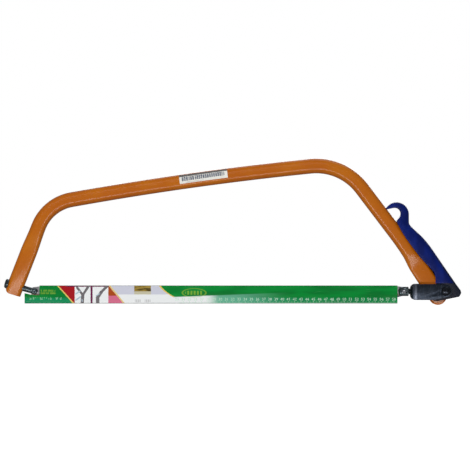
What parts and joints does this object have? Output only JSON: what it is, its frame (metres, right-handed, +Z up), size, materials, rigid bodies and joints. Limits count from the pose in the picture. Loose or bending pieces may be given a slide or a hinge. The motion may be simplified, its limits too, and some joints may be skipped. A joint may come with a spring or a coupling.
{
  "type": "bow saw",
  "caption": "Tubular bow saw with an over-centre tension lever, a finger curl and a slide-off guard over a raker-toothed blade.",
  "frame": {"origin": "middle of the whole saw's bounding box", "axes": "+X from the toe (front blade pin) to the heel (tension lever), +Z up with the blade level at the bottom, +Y out of the saw's plane to its far side"},
  "size_m": [0.7371, 0.0366, 0.2362],
  "materials": {
    "frame_orange": "semi-gloss powder coat",
    "sticker": "satin printed label",
    "zinc_steel": "zinc plated",
    "strap_steel": "dark zinc plated pressing",
    "dark_steel": "dark painted pressing",
    "blade_steel": "rolled strip, lightly oiled",
    "printed_guard": "glossy printed plastic",
    "lever_navy": "fine satin moulding"
  },
  "bodies": {
    "frame": {"frame_tube": "frame_orange", "frame_sticker": "sticker", "front_anchor_bolt": "zinc_steel", "front_blade_pin": "zinc_steel", "pivot_sleeve": "zinc_steel"},
    "lever": {"lever_channel": "dark_steel", "lever_grip": "lever_navy", "lever_pivot_rivet": "zinc_steel", "strap_rivets": "zinc_steel", "strap_washers": "zinc_steel"},
    "strap": {"tension_strap": "strap_steel", "rear_blade_holder": "zinc_steel", "holder_washer": "zinc_steel", "rear_blade_pin": "zinc_steel"},
    "blade": {"saw_blade": "blade_steel"},
    "guard": {"blade_guard": "printed_guard"}
  },
  "joints": [
    {"name": "lever_swing", "type": "hinge", "parent": "frame", "child": "lever", "pos_m": [0.32875, 0, -0.09925], "axis": [0, 1, 0], "range_deg": [0, 120]},
    {"name": "strap_swing", "type": "hinge", "parent": "lever", "child": "strap", "pos_m": [0.34395, 0, -0.09575], "axis": [0, 1, 0], "range_deg": [-161, 0]},
    {"name": "blade_drop", "type": "hinge", "parent": "frame", "child": "blade", "pos_m": [-0.31945, 0, -0.09625], "axis": [0, 1, 0], "range_deg": [0, 6]},
    {"name": "guard_slide", "type": "slide", "parent": "blade", "child": "guard", "axis": [0, 0, -1], "range_m": [0, 0.03]}
  ],
  "couplings": [
    {"joint": "strap_swing", "follows": "lever_swing", "ratio": -1.338},
    {"joint": "blade_drop", "follows": "lever_swing", "ratio": 0.0499}
  ]
}
